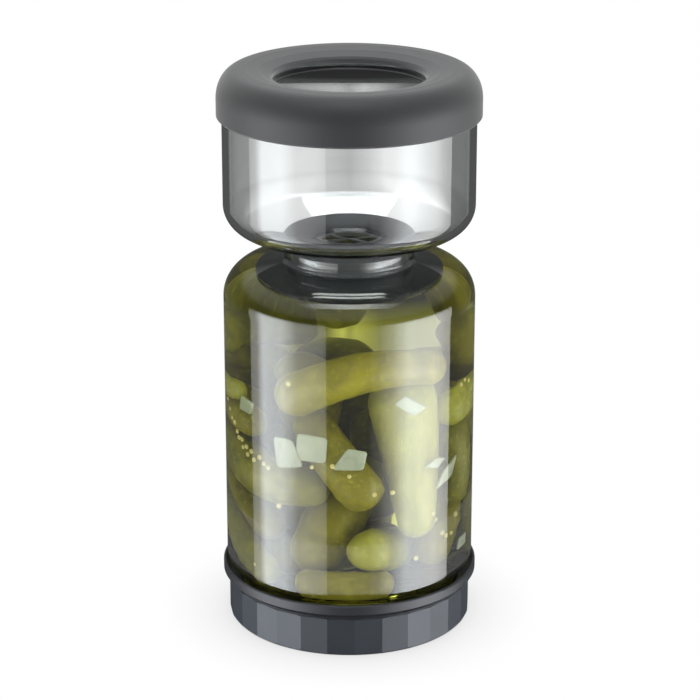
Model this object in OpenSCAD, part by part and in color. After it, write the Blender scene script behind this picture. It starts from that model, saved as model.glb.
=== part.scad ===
// Flip-over pickle jar: an hourglass glass with a brine bowl above a pickle chamber, a strainer
// in its waist, a soft foot ring on the closed end and a screw lid under the pickle chamber.
// It stands as it does on the shelf, on its lid. The origin is the centre of the lid's underside.

/* [Jar glass] */
// Outer radius of the pickle chamber
chamber_r = 50; // [46:0.5:60]
// Height of the pickle chamber from its lower corner to the rounding of its shoulder
chamber_wall_h = 114.9; // [90:0.1:160]
// Outer radius of the brine bowl
bowl_r = 49.7; // [44:0.1:60]
// Height of the brine bowl from its lower rounding to the closed end
bowl_wall_h = 48.5; // [40:0.1:80]
// Outer radius of the neck between them
neck_r = 25.7; // [23:0.1:28]
// Height of the neck's straight part
neck_h = 3.4; // [2:0.1:6]
// Slope of the shoulder in degrees
shoulder_slope = 6.9; // [4:0.1:12]
// Slope of the bowl's floor in degrees
floor_slope = 20; // [14:0.5:24]
// Radius of the hollow roundings at both ends of the neck
neck_round = 2; // [1:0.1:3]
// Thickness of the glass
glass_wall = 2.6; // [2:0.1:3.2]
// Thickness of the closed end of the bowl
end_wall = 3.8; // [3:0.1:6]
// Depth of the hollow in the closed end
punt_depth = 1.2; // [0.6:0.1:2]
// Radius of the shoulder's rounding
shoulder_corner = 13.4; // [8:0.1:18]
// Radius of the bowl's lower rounding
bowl_corner = 10.9; // [6:0.1:15]
// Radius of the corner at the closed end
end_corner = 8; // [5:0.5:12]
// Radius of the pickle chamber's lower corner
base_corner = 6.4; // [4.5:0.1:9]
// Outer radius of the mouth, at the root of its thread
mouth_r = 43.6; // [38:0.1:44]
// Height of the mouth's threaded part
finish_h = 15.4; // [13:0.1:20]

/* [Thread] */
// Rise of the thread in one turn
thread_pitch = 6; // [5:0.1:8]
// Length of the glass thread in turns
glass_turns = 1.25; // [0.75:0.05:1.4]
// Length of the lid's thread in turns
liner_turns = 1.1; // [0.75:0.05:1.2]
// How far the glass thread stands out of the mouth
thread_depth = 1.2; // [0.8:0.05:1.6]
// Width of a thread at its root
thread_root_w = 2.4; // [1.8:0.1:2.6]
// Width of a thread at its crest
thread_crest_w = 1; // [0.6:0.1:1.4]

/* [Lid] */
// Thickness of the grip outside the liner, at the middle of a facet
grip_wall = 2.1; // [1.5:0.1:3]
// Number of flat facets round the grip
facet_count = 28; // [16:2:40]
// Turn of the first facet edge from the front
facet_turn = 2.6; // [0:0.1:12]
// Height of the faceted grip
grip_h = 15.6; // [13:0.1:17]
// Thickness of the grip's floor
grip_floor = 1.6; // [1:0.1:2.5]
// Bevel round the underside of the grip
grip_bevel = 0.9; // [0.3:0.1:1.5]
// Thickness of the liner's floor
liner_floor = 1.6; // [1:0.1:2.5]
// Thickness of the liner's threaded skirt
liner_wall = 1.5; // [1.2:0.1:1.8]
// Thickness of the flared rim
rim_wall = 1.3; // [0.9:0.1:2]
// How far the flared rim reaches over the chamber's lower corner
rim_cover = 2; // [1:0.1:5]
// Height of the outer face of the flared rim
rim_face_h = 3.8; // [2:0.1:4.5]
// Thickness of the sealing ring in the lid
gasket_h = 2; // [1.5:0.1:3]
// Radial width of the sealing ring
gasket_w = 4.4; // [3:0.1:6]

/* [Strainer] */
// Radius of the strainer's flange
flange_r = 36.5; // [30:0.5:40]
// Thickness of the strainer's flange and spigot
strainer_wall = 1.6; // [1.2:0.1:2.2]
// How far the flange falls from the neck to its edge
flange_fall = 4.8; // [2:0.1:6]
// Height of the flange's edge
flange_edge_h = 1.7; // [1.2:0.1:4]
// Radius of the spigot that plugs into the neck seal
spigot_r = 15.2; // [14.5:0.1:17]
// Radius of the clear drain hole
drain_r = 11.4; // [8:0.1:11.6]
// How far the dish falls from the spigot's edge to the drain
dish_fall = 0.8; // [0.4:0.1:1.5]
// Radial width of the ring that carries the bars
bar_ring_w = 1.4; // [1:0.1:1.8]
// Height of the bars and their ring
bar_h = 1.5; // [1:0.1:2]
// Width of a bar
bar_w = 1.7; // [1:0.1:2.5]
// Direction of the first bar
bar_turn = 126; // [0:1:180]

/* [Neck seal] */
// How far the seal's lip reaches over the neck's edge in the bowl
lip_w = 2.8; // [2:0.1:3.5]
// How far the lip stands above the neck's straight part
lip_rise = 5.9; // [5.4:0.1:7]
// How far the funnel falls from the lip to the seal's bore
funnel_fall = 3.1; // [2:0.1:4]
// How far the seal's bead reaches under the neck's edge in the chamber
bead_w = 1.1; // [0.5:0.1:2]
// How far the seal reaches below the neck's straight part
bead_drop = 4.1; // [3.6:0.1:5]
// Thickness of the seal's walls
seal_wall = 1.9; // [1.4:0.1:2.4]

/* [Foot ring] */
// Thickness of the foot ring round the bowl
foot_wall = 1.8; // [1.4:0.1:3]
// How far the foot ring reaches down the bowl
foot_depth = 13.6; // [12:0.1:25]
// Thickness of the foot ring at its window
foot_edge_h = 2.6; // [1.5:0.1:4]
// How far the standing face lies above the window's edge
foot_crown = 2.5; // [1:0.1:4]
// Radius of the round window
window_r = 30; // [20:0.5:34]
// Width of the rounding between standing face and side
foot_round_w = 8.3; // [5:0.1:10]
// Height of the rounding between standing face and side
foot_round_h = 11.2; // [6:0.1:14]
// Radial width of the flat standing face
foot_land = 3; // [1:0.1:5]

/* [Clearances] */
// Gap between pieces that move past each other
move_gap = 0.3; // [0.2:0.05:0.5]
// Gap between pieces that are fixed together
seat_gap = 0.05; // [0.02:0.01:0.1]
// Radial gap between a thread's crest and the root that it faces
thread_gap = 0.45; // [0.35:0.05:0.6]

/* [Hidden] */
$fn = 128;

// Heights, from the table upwards
gasket_z = grip_floor + liner_floor;
lip_z = gasket_z + gasket_h;
chamber_z = lip_z + finish_h;
shoulder_z = chamber_z + chamber_wall_h;
neck_low_z = shoulder_z + neck_rise(chamber_r, shoulder_corner, shoulder_slope);
neck_top_z = neck_low_z + neck_h;
bowl_z = neck_top_z + neck_rise(bowl_r, bowl_corner, floor_slope);
end_z = bowl_z + bowl_wall_h;
rim_z = chamber_z + rim_cover;

// Radius at which a chamber's rounding runs on into the cone that leads to the neck
function cone_r(r, corner, slope, inset) = r - corner + (corner - inset) * sin(slope);
// Height from the end of a chamber's wall to the neck's straight part
function neck_rise(r, corner, slope) =
  corner * cos(slope)
  + (neck_round - (neck_r + neck_round - cone_r(r, corner, slope, 0)) * sin(slope)) / cos(slope);

// Radii
mouth_in_r = mouth_r - glass_wall;
thread_crest_r = mouth_r + thread_depth;
liner_in_r = thread_crest_r + thread_gap;
liner_r = liner_in_r + liner_wall;
grip_flat_r = liner_r + seat_gap + grip_wall;
grip_r = grip_flat_r / cos(180 / facet_count);
rim_in_r = chamber_r + move_gap;
rim_r = rim_in_r + rim_wall;
neck_in_r = neck_r - glass_wall;
foot_in_r = bowl_r + move_gap;
foot_r = foot_in_r + foot_wall;

// How deep a thread's root is sunk into its wall
thread_sink = 0.4;
// Straight pieces in one turn of a thread, and those over which its ends rise
thread_steps = 48;
thread_lead_in = 5;
// Share of its height that a thread has at its very ends
lead_in_low = 0.3;
// Where the lid's thread starts, in turns from the start of the glass thread
liner_first_turn = -0.4;
// Points on the rounding of the foot ring
round_steps = 14;
// Small length by which cutting shapes pass the faces that they cut
over = 1;

// ---- Shapes used more than once ----

// Half section of a round end with a rounded corner, above wall_z when up is 1, below it when up is -1
module round_end_half(r, wall_z, corner, up) {
  low_z = up > 0 ? wall_z : wall_z - corner;
  translate([0, low_z]) square([r - corner, corner]);
  intersection() {
    translate([r - corner, wall_z]) circle(r = corner);
    translate([0, low_z]) square([r, corner]);
  }
}

// Half section of the end that leads to the neck, set in by the given thickness; up as above
module neck_end_half(r, wall_z, corner, slope, up, inset) {
  round_r = neck_r + neck_round;
  round_z = wall_z + up * neck_rise(r, corner, slope);
  intersection() {
    translate([r - corner, wall_z]) circle(r = corner - inset);
    translate([0, up > 0 ? wall_z : wall_z - corner]) square([r, corner]);
  }
  difference() {
    polygon([
      [0, wall_z], [r - corner, wall_z],
      [cone_r(r, corner, slope, inset), wall_z + up * (corner - inset) * cos(slope)],
      [round_r - (neck_round + inset) * sin(slope), round_z - up * (neck_round + inset) * cos(slope)],
      [round_r, round_z], [0, round_z]
    ]);
    translate([round_r, round_z]) circle(r = neck_round + inset);
  }
}

// Half section of the jar, set in by the given thicknesses
module jar_half(inset, end_inset, mouth_z) {
  chamber_low_z = chamber_z + base_corner;
  bowl_top_z = end_z - end_inset - (end_corner - inset);
  translate([0, mouth_z]) square([mouth_r - inset, chamber_low_z - mouth_z]);
  round_end_half(chamber_r - inset, chamber_low_z, base_corner - inset, -1);
  translate([0, chamber_low_z]) square([chamber_r - inset, shoulder_z - chamber_low_z]);
  neck_end_half(chamber_r, shoulder_z, shoulder_corner, shoulder_slope, 1, inset);
  translate([0, neck_low_z]) square([neck_r - inset, neck_h]);
  neck_end_half(bowl_r, bowl_z, bowl_corner, floor_slope, -1, inset);
  translate([0, bowl_z]) square([bowl_r - inset, bowl_top_z - bowl_z]);
  round_end_half(bowl_r - inset, bowl_top_z, end_corner - inset, 1);
}

// A thread along a helix between two radii; its centre line is at z_zero at the angle 0
module thread_ridge(root_r, crest_r, z_zero, first_turn, turns) {
  steps = round(turns * thread_steps);
  function lead_in(i) = min(1, i / thread_lead_in, (steps - i) / thread_lead_in);
  function top_r(i) = root_r + (crest_r - root_r) * (lead_in_low + (1 - lead_in_low) * lead_in(i));
  function turn(i) = first_turn + turns * i / steps;
  function section(i) = [
    [root_r, -thread_root_w / 2], [top_r(i), -thread_crest_w / 2],
    [top_r(i), thread_crest_w / 2], [root_r, thread_root_w / 2]
  ];
  points = [
    for (i = [0 : steps]) for (p = section(i))
      [p[0] * cos(360 * turn(i)), p[0] * sin(360 * turn(i)), p[1] + z_zero + thread_pitch * turn(i)]
  ];
  sides = [
    for (i = [0 : steps - 1]) for (k = [0 : 3]) let (a = 4 * i + k, b = 4 * i + (k + 1) % 4)
      each [[a, b, b + 4], [a, b + 4, a + 4]]
  ];
  last = 4 * steps;
  ends = [[0, 3, 2], [0, 2, 1], [last, last + 1, last + 2], [last, last + 2, last + 3]];
  faces = concat(sides, ends);
  inward = crest_r < root_r;
  polyhedron(points = points, faces = inward ? [for (f = faces) [f[2], f[1], f[0]]] : faces);
}

// ---- Jar ----

// The threads mesh with their flanks move_gap apart when the lid is closed
glass_thread_z = lip_z + thread_root_w;
liner_thread_z = glass_thread_z + (thread_root_w + thread_crest_w) / 2 + move_gap;

// Radius of the shallow ball that hollows the closed end out to the window's edge
punt_r = (pow(window_r, 2) + pow(punt_depth, 2)) / (2 * punt_depth);

module jar_glass() {
  color([0.85, 0.9, 0.92, 0.35])
    union() {
      rotate_extrude()
        difference() {
          jar_half(0, 0, lip_z);
          jar_half(glass_wall, end_wall, lip_z - over);
          intersection() {
            translate([0, end_z - punt_depth + punt_r]) circle(r = punt_r, $fn = 720);
            translate([0, end_z - end_wall / 2]) square([window_r + over, end_wall]);
          }
        }
      thread_ridge(mouth_r - thread_sink, thread_crest_r, glass_thread_z, 0, glass_turns);
    }
}

// ---- Foot ring ----

// Half section of the foot ring before the jar's end is cut out of it
foot_top_z = end_z + foot_edge_h + foot_crown;
foot_low_z = end_z - foot_depth;
foot_land_r = foot_r - foot_round_w;
foot_edge_round = 0.8;

function foot_rounding() = [
  for (i = [0 : round_steps]) let (a = 90 * i / round_steps)
    [foot_land_r + foot_round_w * cos(a), foot_top_z - foot_round_h + foot_round_h * sin(a)]
];

module foot_ring() {
  color([0.2, 0.21, 0.22])
    rotate_extrude()
      difference() {
        polygon(concat(
          [[window_r, foot_low_z], [foot_r - foot_edge_round, foot_low_z],
           [foot_r, foot_low_z + foot_edge_round]],
          foot_rounding(),
          [[foot_land_r - foot_land, foot_top_z],
           [(foot_land_r - foot_land + window_r) / 2, foot_top_z - 0.35 * foot_crown],
           [window_r + foot_edge_round, end_z + foot_edge_h],
           [window_r, end_z + foot_edge_h - foot_edge_round]]
        ));
        translate([0, foot_low_z - over])
          square([foot_in_r, end_z - end_corner - foot_low_z + over]);
        round_end_half(foot_in_r, end_z - end_corner, end_corner + move_gap, 1);
      }
}

// ---- Neck seal and strainer ----

seal_z = neck_low_z - bead_drop;
bore_r = spigot_r + move_gap;
funnel_top_z = neck_top_z + lip_rise;
funnel_low_z = funnel_top_z - funnel_fall;
lip_edge = 0.7;

// The seal's outside follows the inside of the glass
module neck_seal() {
  color([0.12, 0.13, 0.14])
    rotate_extrude()
      difference() {
        intersection() {
          polygon([
            [bore_r, seal_z], [neck_in_r + bead_w, seal_z], [neck_in_r + bead_w, neck_low_z],
            [neck_in_r + lip_w, neck_top_z], [neck_in_r + lip_w, funnel_top_z - lip_edge],
            [neck_in_r + lip_w - lip_edge, funnel_top_z], [bore_r, funnel_low_z]
          ]);
          jar_half(glass_wall + seat_gap, end_wall, lip_z);
        }
        // the hollow between the seal's inner and outer walls
        translate([bore_r + seal_wall, seal_z - over])
          square([neck_in_r - bore_r - 2 * seal_wall, neck_top_z - seal_z + over]);
      }
}

flange_z = seal_z - move_gap;
flange_low_z = flange_z - flange_fall - flange_edge_h;
flange_edge = 0.4;
spigot_z = funnel_low_z - seat_gap;
dish_z = spigot_z - dish_fall;
bar_ring_r = drain_r + bar_ring_w;
bar_z = dish_z - bar_h;
bar_floor_z = bar_z - strainer_wall;

module strainer_plate() {
  color([0.19, 0.2, 0.22])
    rotate_extrude()
      polygon([
        // over the flange to its edge
        [spigot_r, spigot_z], [spigot_r, flange_z], [neck_in_r, flange_z],
        [flange_r - flange_edge, flange_z - flange_fall],
        [flange_r, flange_z - flange_fall - flange_edge], [flange_r, flange_low_z],
        // back under it and up the spigot's bore
        [flange_r - strainer_wall, flange_low_z],
        [flange_r - strainer_wall, flange_z - flange_fall - flange_edge],
        [neck_in_r - flange_edge, flange_z - strainer_wall],
        [spigot_r - strainer_wall, flange_z - strainer_wall],
        [spigot_r - strainer_wall, bar_floor_z],
        // the drain, the seat of the bars and the dish that leads to them
        [drain_r, bar_floor_z], [drain_r, bar_z], [bar_ring_r + seat_gap, bar_z],
        [bar_ring_r + seat_gap, dish_z]
      ]);
}

module strainer_bars() {
  color([0.45, 0.46, 0.48])
    translate([0, 0, bar_z])
      union() {
        difference() {
          cylinder(r = bar_ring_r, h = bar_h);
          translate([0, 0, -over]) cylinder(r = drain_r, h = bar_h + 2 * over);
        }
        for (turn = [bar_turn, bar_turn + 90])
          rotate([0, 0, turn])
            translate([-drain_r - bar_ring_w / 2, -bar_w / 2, 0])
              cube([2 * drain_r + bar_ring_w, bar_w, bar_h]);
      }
}

// ---- Lid ----

function facet_edge(i) =
  let (a = -90 + facet_turn + 360 * i / facet_count) [grip_r * cos(a), grip_r * sin(a)];

// The grip is a faceted cup whose bore holds the liner
module lid_grip() {
  color([0.27, 0.29, 0.32])
    difference() {
      intersection() {
        linear_extrude(height = grip_h) polygon([for (i = [0 : facet_count - 1]) facet_edge(i)]);
        rotate_extrude()
          polygon([
            [0, 0], [grip_r - grip_bevel, 0], [grip_r + over, grip_bevel + over],
            [grip_r + over, grip_h], [0, grip_h]
          ]);
      }
      translate([0, 0, grip_floor]) cylinder(r = liner_r + seat_gap, h = grip_h);
    }
}

// The liner screws onto the mouth, and its rim flares out round the glass
rim_low_z = rim_z - rim_face_h;
flare_low_z = grip_h + (rim_low_z - grip_h) / 3;

module lid_liner() {
  color([0.2, 0.21, 0.23])
    union() {
      rotate_extrude()
        union() {
          difference() {
            polygon([
              [0, grip_floor], [liner_r, grip_floor], [liner_r, grip_h],
              [grip_flat_r, grip_h], [grip_flat_r + rim_wall / 4, flare_low_z],
              [rim_r, rim_low_z], [rim_r, rim_z - rim_wall / 2],
              [rim_in_r, rim_z - rim_wall / 2], [rim_in_r, rim_low_z + rim_wall],
              [liner_in_r + rim_wall / 2, flare_low_z + rim_wall / 2],
              [liner_in_r, flare_low_z], [0, flare_low_z]
            ]);
            translate([0, gasket_z]) square([liner_in_r, rim_z]);
          }
          translate([rim_r - rim_wall / 2, rim_z - rim_wall / 2]) circle(r = rim_wall / 2);
        }
      thread_ridge(liner_in_r + thread_sink, mouth_r + thread_gap,
                   liner_thread_z, liner_first_turn, liner_turns);
    }
}

module lid_gasket() {
  color([0.16, 0.165, 0.17])
    translate([0, 0, gasket_z])
      difference() {
        cylinder(r = liner_in_r - move_gap, h = gasket_h);
        translate([0, 0, -over])
          cylinder(r = liner_in_r - move_gap - gasket_w, h = gasket_h + 2 * over);
      }
}

jar_glass();
foot_ring();
strainer_plate();
strainer_bars();
neck_seal();
lid_grip();
lid_liner();
lid_gasket();
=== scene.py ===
"""Looks of the flip-over pickle jar: clear glass with its brine and gherkins, soft foot ring,
strainer in the waist and faceted screw lid, in a white studio."""

import math
import random

import bpy
import numpy as np
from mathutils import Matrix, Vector


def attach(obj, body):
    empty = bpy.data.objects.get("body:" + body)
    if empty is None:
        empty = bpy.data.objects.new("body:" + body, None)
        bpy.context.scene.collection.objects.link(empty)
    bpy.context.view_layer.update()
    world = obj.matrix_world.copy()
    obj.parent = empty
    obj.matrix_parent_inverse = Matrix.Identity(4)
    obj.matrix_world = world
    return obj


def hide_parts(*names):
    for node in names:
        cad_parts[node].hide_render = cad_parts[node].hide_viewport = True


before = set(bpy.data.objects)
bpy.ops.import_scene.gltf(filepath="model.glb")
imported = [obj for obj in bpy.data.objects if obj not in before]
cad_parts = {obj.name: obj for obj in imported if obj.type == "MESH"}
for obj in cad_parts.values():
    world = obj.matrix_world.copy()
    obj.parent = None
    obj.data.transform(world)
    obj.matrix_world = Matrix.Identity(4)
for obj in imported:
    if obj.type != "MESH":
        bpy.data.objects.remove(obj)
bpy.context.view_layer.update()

MM = 0.001
scene = bpy.context.scene
scene.view_settings.view_transform = "Standard"

# ---- Camera, fitted to the photograph ----

CAMERA_PLACE_MM = (0.27, -983.67, 457.71)
CAMERA_PITCH = 90 - 19.39
CAMERA_LENS = 133.88

camera = bpy.data.objects.new("camera", bpy.data.cameras.new("camera"))
camera.location = [v * MM for v in CAMERA_PLACE_MM]
camera.rotation_euler = (math.radians(CAMERA_PITCH), 0, 0)
camera.data.lens = CAMERA_LENS
camera.data.sensor_width = 36
camera.data.clip_start = 0.01
scene.collection.objects.link(camera)
scene.camera = camera

# ---- Sizes, in millimetres and degrees, as in the CAD source ----

AROUND = 256  # straight pieces round a lathed shape

LIP_Z = 5.2
CHAMBER_Z = 20.6
GLASS_WALL = 2.6
MOUTH_R = 43.6
CHAMBER_R = 50.0
BOWL_R = 49.7
NECK_R = 25.7
NECK_H = 3.4
NECK_ROUND = 2.0
SHOULDER_SLOPE = math.radians(6.9)
FLOOR_SLOPE = math.radians(20)
BASE_CORNER = 6.4
SHOULDER_CORNER = 13.4
BOWL_CORNER = 10.9
END_CORNER = 8.0
END_WALL = 3.8
PUNT_DEPTH = 1.2
WINDOW_R = 30.0
THREAD_PITCH = 6.0
THREAD_TURNS = 1.25
THREAD_DEPTH = 1.2
THREAD_ROOT_W = 2.4
THREAD_CREST_W = 1.0
THREAD_RUN_IN = 10  # full heights per turn at the thread's ends


def neck_rise(wall_r, corner, slope):
    """Height from the end of a chamber's wall to the neck's straight part."""
    touch_r = wall_r - corner * (1 - math.sin(slope))
    inward = NECK_R + NECK_ROUND - touch_r
    return corner * math.cos(slope) + (NECK_ROUND - inward * math.sin(slope)) / math.cos(slope)


SHOULDER_Z = CHAMBER_Z + 114.9
NECK_Z = SHOULDER_Z + neck_rise(CHAMBER_R, SHOULDER_CORNER, SHOULDER_SLOPE)
BOWL_Z = NECK_Z + NECK_H + neck_rise(BOWL_R, BOWL_CORNER, FLOOR_SLOPE)
END_Z = BOWL_Z + 48.5


# ---- Mesh helpers ----


def add(name, verts, faces, material, body, replaced=(), sharp=40):
    """A smooth mesh object in metres from millimetres, riding on a body."""
    mesh = bpy.data.meshes.new(name)
    mesh.from_pydata([Vector(v) * MM for v in verts], [], faces)
    mesh.validate()
    mesh.shade_smooth()
    mesh.set_sharp_from_angle(angle=math.radians(sharp))
    mesh.materials.append(material)
    obj = bpy.data.objects.new(name, mesh)
    scene.collection.objects.link(obj)
    if replaced:
        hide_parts(*replaced)
    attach(obj, body)


def lathe(profile, around=AROUND, closed=True, bend=None):
    """Verts and faces of a half section turned round Z. Points on the axis become poles.
    bend(x, z, angle) may return another radius."""
    verts, rings = [], []
    for r, z in profile:
        if r < 1e-6:
            rings.append([len(verts)])
            verts.append((0.0, 0.0, z))
            continue
        ring = []
        for k in range(around):
            a = 2 * math.pi * k / around
            rr = bend(r, z, a) if bend else r
            ring.append(len(verts))
            verts.append((rr * math.cos(a), rr * math.sin(a), z))
        rings.append(ring)
    faces = []
    count = len(rings)
    for i in range(count if closed else count - 1):
        low, high = rings[i], rings[(i + 1) % count]
        if len(low) == 1 and len(high) == 1:
            continue
        for k in range(around):
            n = (k + 1) % around
            if len(low) == 1:
                faces.append((low[0], high[n], high[k]))
            elif len(high) == 1:
                faces.append((low[k], low[n], high[0]))
            else:
                faces.append((low[k], low[n], high[n], high[k]))
    return verts, faces


# ---- Material helpers ----


class Tree:
    """Short way to write a node tree."""

    def __init__(self, owner):
        owner.use_nodes = True
        self.nt = owner.node_tree
        self.nt.nodes.clear()

    def add(self, kind, links=None, **values):
        node = self.nt.nodes.new(kind)
        for key, value in values.items():
            node.inputs[key.replace("_", " ")].default_value = value
        for key, value in (links or {}).items():
            self.nt.links.new(value, node.inputs[key])
        return node

    def out(self, surface=None, volume=None, kind="ShaderNodeOutputMaterial"):
        node = self.nt.nodes.new(kind)
        if surface is not None:
            self.nt.links.new(surface, node.inputs["Surface"])
        if volume is not None:
            self.nt.links.new(volume, node.inputs["Volume"])

    def math(self, operation, a, b=None, c=None, clamp=False):
        node = self.nt.nodes.new("ShaderNodeMath")
        node.operation = operation
        node.use_clamp = clamp
        for i, value in enumerate((a, b, c)):
            if value is None:
                continue
            if isinstance(value, (int, float)):
                node.inputs[i].default_value = value
            else:
                self.nt.links.new(value, node.inputs[i])
        return node.outputs[0]

    def mix(self, factor, a, b):
        """Mix of two colours."""
        node = self.nt.nodes.new("ShaderNodeMix")
        node.data_type = "RGBA"
        for key, value in ((0, factor), (6, a), (7, b)):
            if isinstance(value, (tuple, list)):
                node.inputs[key].default_value = (*value[:3], 1)
            else:
                self.nt.links.new(value, node.inputs[key])
        return node.outputs[2]

    def ramp(self, factor, *stops):
        """Colour ramp of (place, grey or colour)."""
        node = self.nt.nodes.new("ShaderNodeValToRGB")
        self.nt.links.new(factor, node.inputs[0])
        elements = node.color_ramp.elements
        while len(elements) < len(stops):
            elements.new(0.5)
        for element, (place, value) in zip(elements, stops):
            element.position = place
            if isinstance(value, (int, float)):
                value = (value,) * 3
            element.color = (*value, 1)
        return node.outputs[0]

    def noise(self, scale, detail=3.0, rough=0.5, coords=None, distortion=0.0):
        node = self.add(
            "ShaderNodeTexNoise", Scale=scale, Detail=detail, Roughness=rough, Distortion=distortion
        )
        if coords is not None:
            self.nt.links.new(coords, node.inputs["Vector"])
        return node.outputs[0]

    def mixed(self, factor, a, b):
        """Mix of two shaders."""
        node = self.nt.nodes.new("ShaderNodeMixShader")
        self.nt.links.new(factor, node.inputs[0])
        self.nt.links.new(a, node.inputs[1])
        self.nt.links.new(b, node.inputs[2])
        return node.outputs[0]


def new_material(name):
    material = bpy.data.materials.new(name)
    return material, Tree(material)


def plastic(name, colour, rough, spread=0.12, specular=0.5, sheen=0.0):
    """Moulded plastic or rubber: a slight cloudiness, a fine grain and a varied gloss."""
    material, t = new_material(name)
    where = t.add("ShaderNodeTexCoord").outputs["Object"]
    cloud = t.noise(38.0, 4.0, coords=where)
    fine = t.noise(900.0, 2.0, coords=where)
    low = [c * (1 - spread) for c in colour]
    high = [c * (1 + spread) for c in colour]
    base = t.mix(cloud, low, high)
    gloss = t.math("MULTIPLY_ADD", cloud, 0.12, rough - 0.06)
    relief = t.add("ShaderNodeBump", {"Height": fine}, Strength=0.02, Distance=0.0004)
    shader = t.add(
        "ShaderNodeBsdfPrincipled",
        {"Base Color": base, "Roughness": gloss, "Normal": relief.outputs[0]},
        IOR=1.5,
    )
    shader.inputs["Specular IOR Level"].default_value = specular
    shader.inputs["Sheen Weight"].default_value = sheen
    t.out(shader.outputs[0])
    return material


def clear(name, ior, tint, volume=None):
    """A clear body that bends light and casts no dark shadow."""
    material, t = new_material(name)
    glass = t.add("ShaderNodeBsdfGlass", IOR=ior, Roughness=0.0)
    glass.inputs["Color"].default_value = (*tint, 1)
    passing = t.add("ShaderNodeBsdfTransparent")
    passing.inputs["Color"].default_value = (*tint, 1)
    path = t.add("ShaderNodeLightPath")
    inside = None
    if volume:
        colour, density = volume
        inside = t.add("ShaderNodeVolumeAbsorption", Density=density)
        inside.inputs["Color"].default_value = (*colour, 1)
        inside = inside.outputs[0]
    t.out(
        t.mixed(path.outputs["Is Shadow Ray"], glass.outputs[0], passing.outputs[0]),
        inside,
    )
    return material


# ---- Glass ----


def rounded(corners, step=4.0):
    """Points of a polyline of (r, z, radius) whose corners are rounded by arcs."""
    points = []
    for i, (x, z, radius) in enumerate(corners):
        if radius == 0 or i in (0, len(corners) - 1):
            points.append((x, z))
            continue
        here = np.array((x, z))
        back = np.array(corners[i - 1][:2]) - here
        ahead = np.array(corners[i + 1][:2]) - here
        back, ahead = back / np.linalg.norm(back), ahead / np.linalg.norm(ahead)
        half = math.acos(max(-1, min(1, float(back @ ahead)))) / 2
        middle = (back + ahead) / np.linalg.norm(back + ahead)
        centre = here + middle * radius / math.sin(half)
        reach = radius / math.tan(half)
        start, end = here + back * reach - centre, here + ahead * reach - centre
        a0, a1 = math.atan2(start[1], start[0]), math.atan2(end[1], end[0])
        turn = (a1 - a0 + math.pi) % (2 * math.pi) - math.pi
        n = max(2, int(abs(math.degrees(turn)) / step) + 1)
        for k in range(n + 1):
            a = a0 + turn * k / n
            points.append((centre[0] + radius * math.cos(a), centre[1] + radius * math.sin(a)))
    return points


def cone_z(wall_r, wall_z, corner, slope, up, off, r):
    """Height at radius r of the cone between a chamber's rounding and the neck."""
    touch_r = wall_r - corner + (corner - off) * math.sin(slope)
    touch_z = wall_z + up * (corner - off) * math.cos(slope)
    return touch_z - up * (r - touch_r) * math.tan(slope)


def jar_profile(off):
    """Half section of one face of the glass, off millimetres inside the outer one, lip to end."""
    def shoulder(r):
        return cone_z(CHAMBER_R, SHOULDER_Z, SHOULDER_CORNER, SHOULDER_SLOPE, 1, off, r)

    def floor(r):
        return cone_z(BOWL_R, BOWL_Z, BOWL_CORNER, FLOOR_SLOPE, -1, off, r)

    wall, bowl, neck = CHAMBER_R - off, BOWL_R - off, NECK_R - off
    end = END_Z - (END_WALL if off else 0)
    punt_r = (WINDOW_R**2 + PUNT_DEPTH**2) / (2 * PUNT_DEPTH)
    top = [] if off else [
        (r, END_Z - PUNT_DEPTH + punt_r - math.sqrt(punt_r**2 - r**2))
        for r in np.linspace(WINDOW_R, 0, 16)
    ]
    mouth = [(MOUTH_R - off, z) for z in np.linspace(LIP_Z, CHAMBER_Z - 1, 40)]
    return mouth[:-1] + rounded([
        (MOUTH_R - off, CHAMBER_Z - 1, 0),
        (MOUTH_R - off, CHAMBER_Z + off, 0),
        (wall, CHAMBER_Z + off, BASE_CORNER - off),
        (wall, shoulder(wall), SHOULDER_CORNER - off),
        (neck, shoulder(neck), NECK_ROUND + off),
        (neck, floor(neck), NECK_ROUND + off),
        (bowl, floor(bowl), BOWL_CORNER - off),
        (bowl, end, END_CORNER - off),
        (0, end, 0),
    ])[:-1] + (top or [(0, end)])


def thread(r, z, angle):
    """Radius of the mouth with its thread."""
    if r < MOUTH_R - 0.1 or z > CHAMBER_Z - 1:
        return r
    height = 0.0
    for whole in (0, 1):
        turn = angle / (2 * math.pi) + whole
        if turn > THREAD_TURNS:
            continue
        lead = min(1.0, THREAD_RUN_IN * turn, THREAD_RUN_IN * (THREAD_TURNS - turn))
        away = abs(z - LIP_Z - THREAD_ROOT_W - THREAD_PITCH * turn)
        flank = (THREAD_ROOT_W / 2 - away) / ((THREAD_ROOT_W - THREAD_CREST_W) / 2)
        height = max(height, lead * min(1.0, flank))
    return r + THREAD_DEPTH * height


glass_material = clear("jar_glass", 1.5, (0.985, 0.992, 0.99))
verts, faces = lathe(jar_profile(0) + jar_profile(GLASS_WALL)[::-1], bend=thread)
add("jar_glass_clear", verts, faces, glass_material, "jar", ["jar_glass"], 30)

# ---- Brine, up to the neck seal ----

BRINE_TOP = 147.9
BRINE_OVERLAP = 0.05  # into the glass, so that no air is left between them
BRINE_COLOUR = (0.80, 0.80, 0.10)
BRINE_DENSITY = 26.0  # per metre

brine_material = clear("brine", 1.33, (1, 1, 1), volume=(BRINE_COLOUR, BRINE_DENSITY))
side = [p for p in jar_profile(GLASS_WALL - BRINE_OVERLAP) if p[1] < BRINE_TOP]
body = [(0, LIP_Z)] + side + [(side[-1][0], BRINE_TOP), (0, BRINE_TOP)]
verts, faces = lathe(body, closed=False)
add("brine", verts, faces, brine_material, "jar")

# ---- Gherkins, seeds and onion, with listed places in millimetres ----

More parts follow.
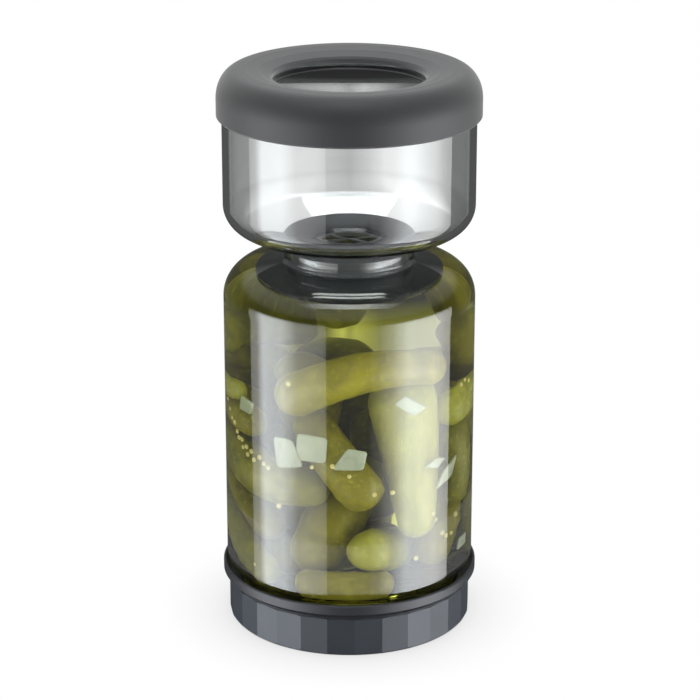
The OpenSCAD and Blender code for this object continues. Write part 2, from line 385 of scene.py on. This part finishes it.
CHAMBER_IN_R = 47.0
CHAMBER_FLOOR = 22.0
STRAINER_SWEPT_R = 37.5
STRAINER_SWEPT_Z = 125.0
# how much of each overlap one round of packed() takes away, and the longest step, in millimetres
NEIGHBOUR_PUSH = 0.12
WALL_PUSH = 0.3
FLOOR_PUSH = 0.2
STRAINER_PUSH = 0.3
LONGEST_PUSH = 1.0

# name: radius at the start and at the end, how far it may be pushed aside, and the spine's start,
# middle and end
GHERKINS = {
    "top_left": (7, 7, 0.03, (-38, 5, 117), (-28, 20, 118), (-14, 30, 117)),
    "curved": (9, 7, 0.1, (-18, -32, 104), (6, -38, 115), (30, -27, 113)),
    "right_end": (8, 7, 0.1, (35, -12, 96), (38, 2, 96), (34, 16, 94)),
    "right_top": (8, 8, 0.1, (33, 12, 116), (36, 10, 108), (34, 16, 100)),
    "upright": (13, 8, 0.1, (18, -25, 94), (21, -26, 72), (24, -31, 47)),
    "slanting": (8, 9, 0.1, (-15, -27, 90), (-8, -34, 79), (1, -37, 67)),
    "left_long": (10, 9, 0.1, (-33, 12, 74), (-31, -19, 69), (-13, -29, 67)),
    "tilted": (11, 10, 0.1, (-9, -34, 35), (-3, -29, 48), (3, -18, 62)),
    "round_end": (9, 9, 0.1, (8, -37, 38), (11, -24, 34), (13, -8, 30)),
    "bottom": (6, 6, 0.1, (-14, -38, 27), (0, -41, 27), (12, -39, 27)),
    "left_low": (7, 7, 0.1, (-38, 8, 38), (-36, -12, 31), (-30, -25, 25)),
    "left_dark": (7, 7, 0.2, (-30, 14, 60), (-31, 2, 54), (-27, -10, 46)),
    "left_thin": (5, 4, 0.1, (-36, 18, 95), (-41, 0, 96), (-38, -15, 99)),
    "left_olive": (7, 7, 0.2, (-32, 14, 86), (-38, 1, 85), (-36, -12, 85)),
    "right_mid": (8, 7, 0.1, (35, -8, 89), (38, -8, 78), (37, -8, 67)),
    "right_low": (8, 8, 0.1, (33, -19, 40), (33, -10, 50), (30, 0, 60)),
    "right_edge": (7, 7, 0.2, (38, 4, 46), (39, 4, 36), (37, 6, 28)),
    "core_high_left": (9, 10, 1, (-14, 2, 100), (-12, 0, 92), (-12, 0, 84)),
    "core_high_right": (9, 10, 1, (13, 4, 98), (14, 2, 90), (15, 0, 80)),
    "core_low_left": (10, 10, 1, (-12, 4, 74), (-14, 6, 58), (-14, 2, 44)),
    "core_low_right": (10, 10, 1, (12, 10, 74), (12, 12, 58), (8, 10, 44)),
    "back_high_left": (10, 10, 1, (-24, 28, 92), (-22, 30, 78), (-24, 26, 62)),
    "back_high": (10, 10, 1, (-2, 36, 92), (0, 37, 80), (2, 36, 64)),
    "back_high_right": (10, 10, 1, (24, 27, 92), (26, 27, 80), (26, 26, 64)),
    "back_low_left": (10, 10, 1, (-26, 24, 52), (-22, 28, 40), (-24, 26, 30)),
    "back_low": (10, 10, 1, (0, 35, 52), (2, 36, 40), (2, 35, 30)),
    "back_low_right": (10, 10, 1, (26, 24, 52), (25, 26, 40), (24, 27, 30)),
    "floor": (9, 9, 1, (-18, -12, 30), (-6, -4, 30), (8, 8, 30)),
}


def spine_at(points, t):
    """Point and direction of the curve through three points."""
    a, m, b = (np.array(p, float) for p in points)
    control = 2 * m - (a + b) / 2
    place = (1 - t) ** 2 * a + 2 * t * (1 - t) * control + t**2 * b
    way = 2 * (1 - t) * (control - a) + 2 * t * (b - control)
    return place, way / np.linalg.norm(way)


def packed(gherkins, rounds=120, beads=7):
    """Moves for the gherkins, which push them apart and off the wall, floor and strainer.
    Some pairs still pass into each other, up to 2.1 mm."""
    names = list(gherkins)
    share = np.linspace(0, 1, beads)
    radius = np.array([gherkins[n][0] + (gherkins[n][1] - gherkins[n][0]) * share for n in names])
    give = np.array([gherkins[n][2] for n in names], float)
    line = np.array([[spine_at(gherkins[n][3:], t)[0] for t in share] for n in names])
    move = np.zeros((len(names), 3))
    for _ in range(rounds):
        place = line + move[:, None, :]
        push = np.zeros_like(move)
        for i in range(len(names)):
            gap = place[i][None, :, None, :] - place[:, None, :, :]
            far = np.linalg.norm(gap, axis=3)
            near = radius[i][None, None, :] + radius[:, :, None] - far
            near[i] = 0
            near = np.clip(near, 0, 4)
            ways = gap / (far[..., None] + 1e-6) * near[..., None]
            push[i] += give[i] * NEIGHBOUR_PUSH * ways.sum((0, 1, 2))
            for p, thick in zip(place[i], radius[i]):
                out = math.hypot(p[0], p[1])
                over = out + thick - CHAMBER_IN_R
                if over > 0:
                    push[i][:2] -= WALL_PUSH * over * p[:2] / out
                low = CHAMBER_FLOOR + thick - p[2]
                if low > 0:
                    push[i][2] += FLOOR_PUSH * low
                high = p[2] + thick - STRAINER_SWEPT_Z
                if high > 0 and out - thick < STRAINER_SWEPT_R:
                    push[i][2] -= STRAINER_PUSH * high
        move += np.clip(push, -LONGEST_PUSH, LONGEST_PUSH)
    return dict(zip(names, move))


def gherkin(name, radii, points, shift, material, seed):
    """One gherkin: a bent round body with blunt ends, three soft ribs and warts."""
    rng = random.Random(seed)
    around, along = 56, 44
    shape = [tuple(np.array(p) + shift) for p in points]
    start, mid, end = (np.array(p) for p in shape)
    length = np.linalg.norm(mid - start) + np.linalg.norm(end - mid)
    middle_r = sum(radii) / 2
    caps = [0.95 * r for r in radii]
    total = length + sum(caps)
    side = np.cross(spine_at(shape, 0)[1], (0.13, 0.31, 0.94))
    side /= np.linalg.norm(side)
    rib_turn = rng.uniform(0, 2 * math.pi)
    warts = [
        (rng.uniform(0.04, 0.96) * total, rng.uniform(0, 2 * math.pi), rng.uniform(0.3, 0.7),
         rng.uniform(0.9, 1.5))
        for _ in range(int(total * middle_r * 0.11))
    ]
    verts, faces = [], []
    for i in range(along + 1):
        u = 0.5 - 0.5 * math.cos(math.pi * i / along)
        run = u * total - caps[0]
        t = min(1.0, max(0.0, run / length))
        place, way = spine_at(shape, t)
        if run < 0:
            place = place + way * run
        elif run > length:
            place = place + way * (run - length)
        past = max(-run / caps[0], (run - length) / caps[1], 0.0)
        body = math.sqrt(max(0.0, 1 - past**2.2))
        plain_r = radii[0] + (radii[1] - radii[0]) * t
        thick = body * plain_r * (0.95 + 0.05 * math.sin(math.pi * t))
        side = side - way * (side @ way)
        side /= np.linalg.norm(side)
        up = np.cross(way, side)
        if i in (0, along):
            verts.append(tuple(place))
            continue
        for k in range(around):
            a = 2 * math.pi * k / around
            lump = 0.0
            for wart_run, wart_turn, high, wide in warts:
                dr = run + caps[0] - wart_run
                if abs(dr) > 3 * wide:
                    continue
                da = (a - wart_turn + math.pi) % (2 * math.pi) - math.pi
                lump += high * math.exp(-(dr**2 + (da * middle_r) ** 2) / wide**2)
            r = thick * (1 + 0.03 * math.cos(3 * (a - rib_turn))) + lump * min(1, body * 1.5)
            verts.append(tuple(place + r * (side * math.cos(a) + up * math.sin(a))))
    rings = along - 1
    for k in range(around):
        n = (k + 1) % around
        faces.append((0, 1 + n, 1 + k))
        last = 1 + (rings - 1) * around
        faces.append((len(verts) - 1, last + k, last + n))
        for i in range(rings - 1):
            low, high = 1 + i * around, 1 + (i + 1) * around
            faces.append((low + k, low + n, high + n, high + k))
    add("gherkin_" + name, verts, faces, material, "jar", sharp=80)


def gherkin_skin(name, low, high):
    """Pickled skin: blotched olive with fine pale specks and streaks."""
    material, t = new_material(name)
    where = t.add("ShaderNodeTexCoord").outputs["Object"]
    blotch = t.noise(75.0, 5.0, 0.6, where, 0.6)
    fine = t.noise(520.0, 3.0, 0.6, where)
    base = t.mix(t.ramp(blotch, (0.33, 0.0), (0.68, 1.0)), low, high)
    pale = [min(1.0, c * 1.35 + 0.03) for c in high]
    base = t.mix(t.ramp(fine, (0.56, 0.0), (0.72, 0.55)), base, pale)
    relief = t.add("ShaderNodeBump", {"Height": fine}, Strength=0.25, Distance=0.0006)
    shader = t.add(
        "ShaderNodeBsdfPrincipled",
        {"Base Color": base, "Normal": relief.outputs[0]},
        Roughness=0.35, IOR=1.45,
    )
    shader.inputs["Specular IOR Level"].default_value = 0.25
    shader.inputs["Subsurface Weight"].default_value = 0.12
    shader.inputs["Subsurface Radius"].default_value = (0.004, 0.004, 0.001)
    shader.inputs["Subsurface Scale"].default_value = 0.5
    t.out(shader.outputs[0])
    return material


SKINS = [
    gherkin_skin("gherkin_green", (0.18, 0.17, 0.006), (0.35, 0.33, 0.014)),
    gherkin_skin("gherkin_olive", (0.20, 0.172, 0.006), (0.38, 0.335, 0.014)),
    gherkin_skin("gherkin_light", (0.34, 0.33, 0.03), (0.52, 0.51, 0.07)),
]
LIGHT = ("round_end", "left_thin", "right_end", "upright")
moves = packed(GHERKINS)
for count, (name, (first, last, _, *points)) in enumerate(GHERKINS.items()):
    skin = SKINS[2] if name in LIGHT else SKINS[count % 2]
    gherkin(name, (first, last), points, moves[name], skin, 700 + count)

SEED_REACH_R = 46.6

# seeds just inside the glass: turn round the jar from its front, and height
SEEDS = (
    (-80, 94), (-76, 91), (-73, 88), (-70, 87), (-67, 84), (-65, 82), (-62, 82), (-61, 79),
    (-58, 80), (-57, 77), (-54, 79), (-52, 76), (-48, 78), (-45, 76), (-42, 75), (-18, 79),
    (-8, 80), (0, 76), (12, 68), (21, 68), (-52, 31), (44, 55), (46, 52), (51, 45), (54, 43),
    (58, 43), (62, 50), (66, 104), (70, 105), (76, 103), (80, 98), (-30, 112), (34, 38), (-36, 60),
)


def seed_cloud():
    """Mustard seeds as one mesh of small balls."""
    rng = random.Random(41)
    verts, faces = [], []
    for turn, z in SEEDS:
        size = rng.uniform(0.8, 1.1)
        a = math.radians(turn)
        out = SEED_REACH_R - size
        rises = np.linspace(-math.pi / 2, math.pi / 2, 9)
        ball = [(size * math.cos(e), size * math.sin(e)) for e in rises]
        ball[0], ball[-1] = (0, -size), (0, size)
        points, rings = lathe(ball, 14, closed=False)
        base = len(verts)
        verts += [(x + out * math.sin(a), y - out * math.cos(a), w + z) for x, y, w in points]
        faces += [tuple(base + i for i in f) for f in rings]
    return verts, faces


verts, faces = seed_cloud()
SEED = plastic("mustard_seed", (0.85, 0.74, 0.25), 0.3)
add("mustard_seeds", verts, faces, SEED, "jar", sharp=80)

# onion pieces: turn, height, distance from the axis, and the outline's corners round and up
ONIONS = (
    (31, 103, 45.5, ((-10, 2), (-4, 6), (9, -3), (1, -6))),
    (1, 83, 45.5, ((-10, -6), (-2, 6), (8, 4), (6, -6))),
    (-18, 87, 45, ((-9, -8), (-8, 7), (8, 6), (7, -8))),
    (-31, 83, 45.5, ((-6, -9), (-8, 8), (3, 8), (9, -6))),
    (45, 76, 45.5, ((-7, 0), (1, 3), (8, 1), (2, -3))),
    (54, 70, 45.5, ((-9, -7), (-3, 2), (9, 8), (4, -3))),
    (69, 36, 45.5, ((-6, -3), (-3, 3), (6, 3), (5, -3))),
    (-60, 97, 44, ((-6, -4), (-4, 4), (7, 3), (5, -4))),
)

ONION_SCALE = 0.75
ONION_CORNER = 0.16  # share of a side that its rounded corner takes


def onion_piece(turn, z, out, corners, thick=1.2, steps=6):
    """A thin curved chip whose corners are rounded."""
    ring = []
    count = len(corners)
    for i in range(count):
        a, b, c = (np.array(corners[(i + k) % count], float) * ONION_SCALE for k in (-1, 0, 1))
        first, last = b + (a - b) * ONION_CORNER, b + (c - b) * ONION_CORNER
        for s in np.linspace(0, 1, steps):
            ring.append((1 - s) ** 2 * first + 2 * s * (1 - s) * b + s * s * last)
    verts = []
    for depth, grow in ((-0.5, 0.90), (-0.25, 1.0), (0.25, 1.0), (0.5, 0.90)):
        for u, v in ring:
            a = math.radians(turn) + u * grow / out
            r = out + depth * thick
            verts.append((r * math.sin(a), -r * math.cos(a), z + v * grow))
    n = len(ring)
    faces = [
        (layer * n + k, layer * n + (k + 1) % n, (layer + 1) * n + (k + 1) % n, (layer + 1) * n + k)
        for layer in range(3) for k in range(n)
    ]
    faces += [tuple(range(n - 1, -1, -1)), tuple(range(3 * n, 4 * n))]
    return verts, faces


def onion_material():
    material, t = new_material("onion")
    where = t.add("ShaderNodeTexCoord").outputs["Object"]
    veins = t.noise(260.0, 4.0, coords=where, distortion=1.0)
    base = t.mix(veins, (0.30, 0.34, 0.20), (0.56, 0.60, 0.46))
    shader = t.add("ShaderNodeBsdfPrincipled", {"Base Color": base}, Roughness=0.35)
    shader.inputs["Subsurface Weight"].default_value = 0.3
    shader.inputs["Subsurface Radius"].default_value = (0.004, 0.004, 0.003)
    shader.inputs["Subsurface Scale"].default_value = 0.5
    t.out(shader.outputs[0])
    return material


ONION = onion_material()
for count, piece in enumerate(ONIONS):
    verts, faces = onion_piece(*piece)
    add("onion_%d" % count, verts, faces, ONION, "jar", sharp=60)

# ---- Other pieces: materials on the CAD nodes ----

ROUND_SHARP = 30  # degrees at which an edge is drawn sharp
FACET_SHARP = 8  # keeps the grip's facets apart

# node: colour, roughness, sharp angle, and what differs from plastic()'s own values
NODE_LOOKS = {
    "foot_ring": (
        (0.02, 0.021, 0.023), 0.55, ROUND_SHARP, {"spread": 0.05, "specular": 0.3, "sheen": 0.55}
    ),
    "strainer_plate": ((0.02, 0.022, 0.027), 0.16, ROUND_SHARP, {"spread": 0.05}),
    "strainer_bars": ((0.14, 0.145, 0.15), 0.3, ROUND_SHARP, {}),
    "neck_seal": ((0.035, 0.038, 0.045), 0.42, ROUND_SHARP, {"spread": 0.05}),
    "lid_grip": ((0.045, 0.053, 0.066), 0.42, FACET_SHARP, {"spread": 0.05, "specular": 0.27}),
    "lid_liner": ((0.03, 0.032, 0.038), 0.45, ROUND_SHARP, {"spread": 0.05, "specular": 0.3}),
    "lid_gasket": ((0.03, 0.032, 0.034), 0.5, ROUND_SHARP, {}),
}
for node, (colour, rough, sharp, more) in NODE_LOOKS.items():
    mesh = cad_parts[node].data
    mesh.materials.clear()
    mesh.materials.append(plastic(node, colour, rough, **more))
    mesh.shade_smooth()
    mesh.set_sharp_from_angle(angle=math.radians(sharp))

# ---- Studio ----


def softbox(name, place, size, aim, radiance):
    """A soft rectangular lamp, hidden from camera, gloss and glass; metres throughout."""
    data = bpy.data.lights.new(name, "AREA")
    data.shape = "RECTANGLE"
    data.size, data.size_y = size
    data.energy = radiance * math.pi * size[0] * size[1]
    lamp = bpy.data.objects.new(name, data)
    lamp.location = place
    lamp.rotation_euler = (Vector(aim) - Vector(place)).to_track_quat("-Z", "Y").to_euler()
    lamp.visible_camera = False
    lamp.visible_transmission = False
    lamp.visible_glossy = False
    scene.collection.objects.link(lamp)


def round_the_jar(azimuth, distance, z):
    """A place by its turn from the camera's side (0) to the picture's right (90)."""
    a = math.radians(azimuth)
    return Vector((distance * math.sin(a), -distance * math.cos(a), z))


def upright_panel(azimuth, distance, width, low, high):
    """Corners of a panel that faces the jar's axis."""
    middle = round_the_jar(azimuth, distance, 0)
    a = math.radians(azimuth)
    along = Vector((math.cos(a), math.sin(a), 0)) * width / 2
    ends = ((-1, low), (1, low), (1, high), (-1, high))
    return [(*(middle + side * along)[:2], z) for side, z in ends]


def card(name, corners, peak, *stops):
    """A glowing panel that only glossy rays see; the stops run along X of its box."""
    mesh = bpy.data.meshes.new(name)
    mesh.from_pydata(corners, [], [(0, 1, 2, 3)])
    material, t = new_material(name)
    place = t.add("ShaderNodeTexCoord").outputs["Generated"]
    across, _, rise = t.add("ShaderNodeSeparateXYZ", {"Vector": place}).outputs
    colour = t.ramp(across, *stops)
    if corners[0][2] != corners[2][2]:
        colour = t.mix(t.ramp(rise, (0.90, 1.0), (1.0, 0.3)), (0.0, 0.0, 0.0), colour)
    glow = t.add("ShaderNodeEmission", {"Color": colour}, Strength=peak)
    t.out(glow.outputs[0])
    mesh.materials.append(material)
    obj = bpy.data.objects.new(name, mesh)
    scene.collection.objects.link(obj)
    for kind in ("camera", "diffuse", "transmission", "volume_scatter", "shadow"):
        setattr(obj, "visible_" + kind, False)
    return obj


CARD_LOW, CARD_HIGH = -0.60, 0.22
SIDE_DISTANCE, SIDE_H, SIDE_MIDDLE_Z = 0.75, 0.82, -0.19
LEFT_W, RIGHT_W = 1.23, 1.35
COOL = (0.93, 0.97, 1.0)
for name, azimuth, width in (("left_softbox", -60, LEFT_W), ("right_softbox", 60, RIGHT_W)):
    place = round_the_jar(azimuth, SIDE_DISTANCE, SIDE_MIDDLE_Z)
    softbox(name, place, (width, SIDE_H), (0, 0, SIDE_MIDDLE_Z), 0.55)
softbox("top_softbox", (0, 0.12, 0.85), (0.6, 0.6), (0, 0.12, 0), 1.2)
card(
    "left_card", upright_panel(-59.75, SIDE_DISTANCE, LEFT_W, CARD_LOW, CARD_HIGH), 10.0,
    (0.0, 0.20), (0.14, 0.30), (0.25, COOL), (0.48, COOL), (0.64, 0.42), (1.0, 0.22),
)
card(
    "right_card", upright_panel(60.5, SIDE_DISTANCE, RIGHT_W, CARD_LOW, CARD_HIGH), 10.5,
    (0.0, 0.04), (0.12, 0.10), (0.28, 0.4), (0.43, COOL), (0.72, 0.8), (0.90, 0.45), (1.0, 0.35),
)
back_card = card(
    "back_card",
    [(-0.20, 0.26, 0.7), (0.20, 0.26, 0.7), (0.16, 0.46, 0.7), (-0.16, 0.46, 0.7)],
    7.0,
    (0.0, 0.8), (0.5, COOL), (1.0, 0.8),
)
back_card.visible_transmission = True  # the shoulder mirrors it, as seen through the bowl
card(
    "top_card",
    [(-0.5, -0.42, 0.9), (0.5, -0.42, 0.9), (0.5, -0.15, 0.9), (-0.5, -0.15, 0.9)],
    8.0,
    (0.0, 0.2), (0.5, COOL), (1.0, 0.2),
)

# Only the camera sees plain white. Gloss and glass see graded greys, tuned to the photo's view,
# in place of that white background.
world = bpy.data.worlds.new("studio")
scene.world = world
t = Tree(world)
way = t.add("ShaderNodeTexCoord").outputs["Generated"]
xyz = t.add("ShaderNodeSeparateXYZ", {"Vector": way})
side, back, up = xyz.outputs
# 0.5 straight behind the object, 0.25 to its left and 0.75 to its right in the picture
turn = t.math("MULTIPLY_ADD", t.math("ARCTAN2", side, back), 0.5 / math.pi, 0.5)
height = t.math("MULTIPLY_ADD", up, 0.5, 0.5)
around = t.ramp(height, (0.0, 0.2), (0.5, 0.32), (1.0, 1.0))
mirrored = t.ramp(up, (0.33, 0.1), (0.42, 0.6), (0.7, 1.0))
through = t.ramp(
    turn,
    (0.0, 0.5), (0.18, 0.45), (0.30, 0.4), (0.40, 0.4), (0.48, 0.35), (0.4955, 0.8), (0.5, 0.58),
    (0.5045, 1.0), (0.515, 0.2), (0.55, 0.2), (0.62, 0.4), (0.70, 0.4), (0.82, 0.45), (1.0, 0.5),
)
# the camera looks down at 0.33 of up; rays through glass that end below or above that get dark
level = t.ramp(height, (0.20, 0.0), (0.31, 1.0), (0.36, 1.0), (0.45, 0.2))
through = t.mix(level, (0.0, 0.0, 0.0), through)
paths = t.add("ShaderNodeLightPath")
# light that comes back out of the near wall has passed fewer than four faces
WHOLE_WAY_FACES = 3.5
NEAR_WALL_GREY = (0.08, 0.08, 0.08)
whole_way = t.math("GREATER_THAN", paths.outputs["Transmission Depth"], WHOLE_WAY_FACES)
through = t.mix(whole_way, NEAR_WALL_GREY, through)
seen = t.mix(paths.outputs["Is Glossy Ray"], around, mirrored)
seen = t.mix(paths.outputs["Is Transmission Ray"], seen, through)
seen = t.mix(paths.outputs["Is Camera Ray"], seen, (1.0, 1.0, 1.0))
sky = t.add("ShaderNodeBackground", {"Color": seen}, Strength=1.0)
t.out(sky.outputs[0], kind="ShaderNodeOutputWorld")


def floor_material():
    material, t = new_material("floor")
    # Camera and glass rays see the floor glow white with a painted shadow: ambient occlusion, not
    # the lamps, darkens it near the jar.
    shade = t.add("ShaderNodeAmbientOcclusion", Distance=0.05)
    shade.samples = 8
    white = t.ramp(shade.outputs["AO"], (0.0, 0.55), (0.85, 1.0))
    glow = t.add("ShaderNodeEmission", {"Color": white}, Strength=1.0)
    pale = t.add("ShaderNodeBsdfDiffuse")
    pale.inputs["Color"].default_value = (0.85, 0.85, 0.85, 1)
    path = t.add("ShaderNodeLightPath")
    shown = t.math(
        "ADD", path.outputs["Is Camera Ray"], path.outputs["Is Transmission Ray"], clamp=True
    )
    t.out(t.mixed(shown, pale.outputs[0], glow.outputs[0]))
    return material


FLOOR_R, FLOOR_TOP, FLOOR_BOTTOM = 150, -0.05, -1.0
floor_section = [(0, FLOOR_TOP), (FLOOR_R, FLOOR_TOP), (FLOOR_R, FLOOR_BOTTOM), (0, FLOOR_BOTTOM)]
verts, faces = lathe(floor_section, 96, False)
mesh = bpy.data.meshes.new("floor")
mesh.from_pydata([Vector(v) * MM for v in verts], [], [f[::-1] for f in faces])
mesh.materials.append(floor_material())
floor = bpy.data.objects.new("floor", mesh)
scene.collection.objects.link(floor)
floor.visible_glossy = False
